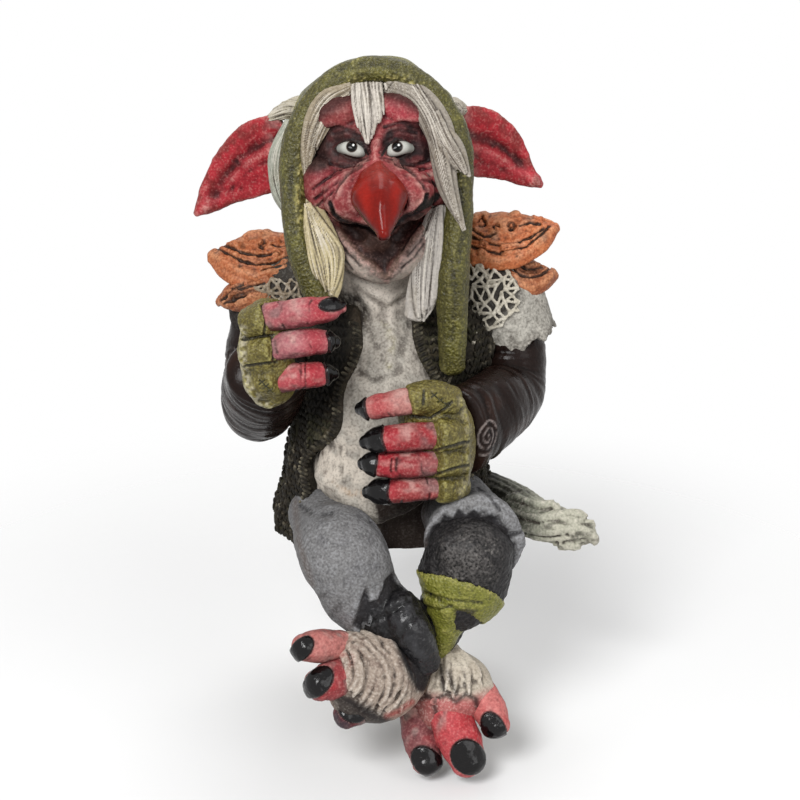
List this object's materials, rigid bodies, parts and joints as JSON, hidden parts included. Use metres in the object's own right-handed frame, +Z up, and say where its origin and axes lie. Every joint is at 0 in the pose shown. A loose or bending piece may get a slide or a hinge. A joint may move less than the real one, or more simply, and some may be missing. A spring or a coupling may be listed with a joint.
{
  "type": "garden goblin statue",
  "caption": "Seated garden goblin cast in painted resin, in a hood, vest and ragged trousers, made to sit on a ledge or shelf edge with its legs hanging down.",
  "frame": {"origin": "on the flat underside of the seat, below the middle of the trunk", "axes": "+Z up, the goblin faces -Y, +X is the goblin's own left; the legs hang below z = 0 in front of the seat"},
  "size_m": [0.1719, 0.1565, 0.2804],
  "materials": {
    "steel": "bare drawn rod",
    "red_skin": "pink-red paint, dry-brushed over a dark wash",
    "red_beak": "deep red paint under clear lacquer",
    "eye_white": "white paint with dark pupils under clear lacquer",
    "green_cloth": "olive paint with dark creases, satin",
    "white_hair": "off-white paint with dark strand grooves",
    "orange_fungus": "terracotta paint with dark grooves, satin",
    "grey_tunic": "pale warm grey paint, dry-brushed",
    "dark_knit": "charcoal paint flecked with cream",
    "white_lace": "cream paint over a dark ground",
    "brown_leather": "dark brown paint, satin to gloss",
    "grey_trouser": "blue-grey stippled paint",
    "black_legging": "near-black paint, dry-brushed grey",
    "pale_fur": "beige paint over a dark wash"
  },
  "bodies": {
    "root": {"neck_pin": "steel", "left_ear_pin": "steel", "left_shoulder_pin": "steel", "left_hip_pin": "steel", "left_ankle_pin": "steel", "right_ear_pin": "steel", "right_shoulder_pin": "steel", "right_hip_pin": "steel", "right_ankle_pin": "steel", "head": "red_skin", "left_ear": "red_skin", "left_index_finger": "red_skin", "left_middle_finger": "red_skin", "left_ring_finger": "red_skin", "left_big_toe": "red_skin", "left_middle_toe": "red_skin", "left_little_toe": "red_skin", "right_ear": "red_skin", "right_index_finger": "red_skin", "right_middle_finger": "red_skin", "right_ring_finger": "red_skin", "right_big_toe": "red_skin", "right_middle_toe": "red_skin", "right_little_toe": "red_skin", "left_little_finger": "red_skin", "beak": "red_beak", "left_eye": "eye_white", "right_eye": "eye_white", "hood_roll": "green_cloth", "hood_cap": "green_cloth", "leg_strap": "green_cloth", "left_glove": "green_cloth", "right_glove": "green_cloth", "forelock": "white_hair", "left_hair_sweep": "white_hair", "left_hair_lock": "white_hair", "left_ear_tuft": "white_hair", "right_hair_sweep": "white_hair", "right_hair_lock": "white_hair", "right_ear_tuft": "white_hair", "left_upper_fungus": "orange_fungus", "left_lower_fungus": "orange_fungus", "right_upper_fungus": "orange_fungus", "right_lower_fungus": "orange_fungus", "body": "grey_tunic", "left_sleeve": "grey_tunic", "right_sleeve": "grey_tunic", "vest": "dark_knit", "left_lace": "white_lace", "right_lace": "white_lace", "left_arm": "brown_leather", "right_arm": "brown_leather", "left_trouser_leg": "grey_trouser", "right_trouser_leg": "grey_trouser", "left_shin": "black_legging", "right_shin": "black_legging", "left_foot": "pale_fur", "right_foot": "pale_fur", "tail": "pale_fur"}
  },
  "joints": []
}
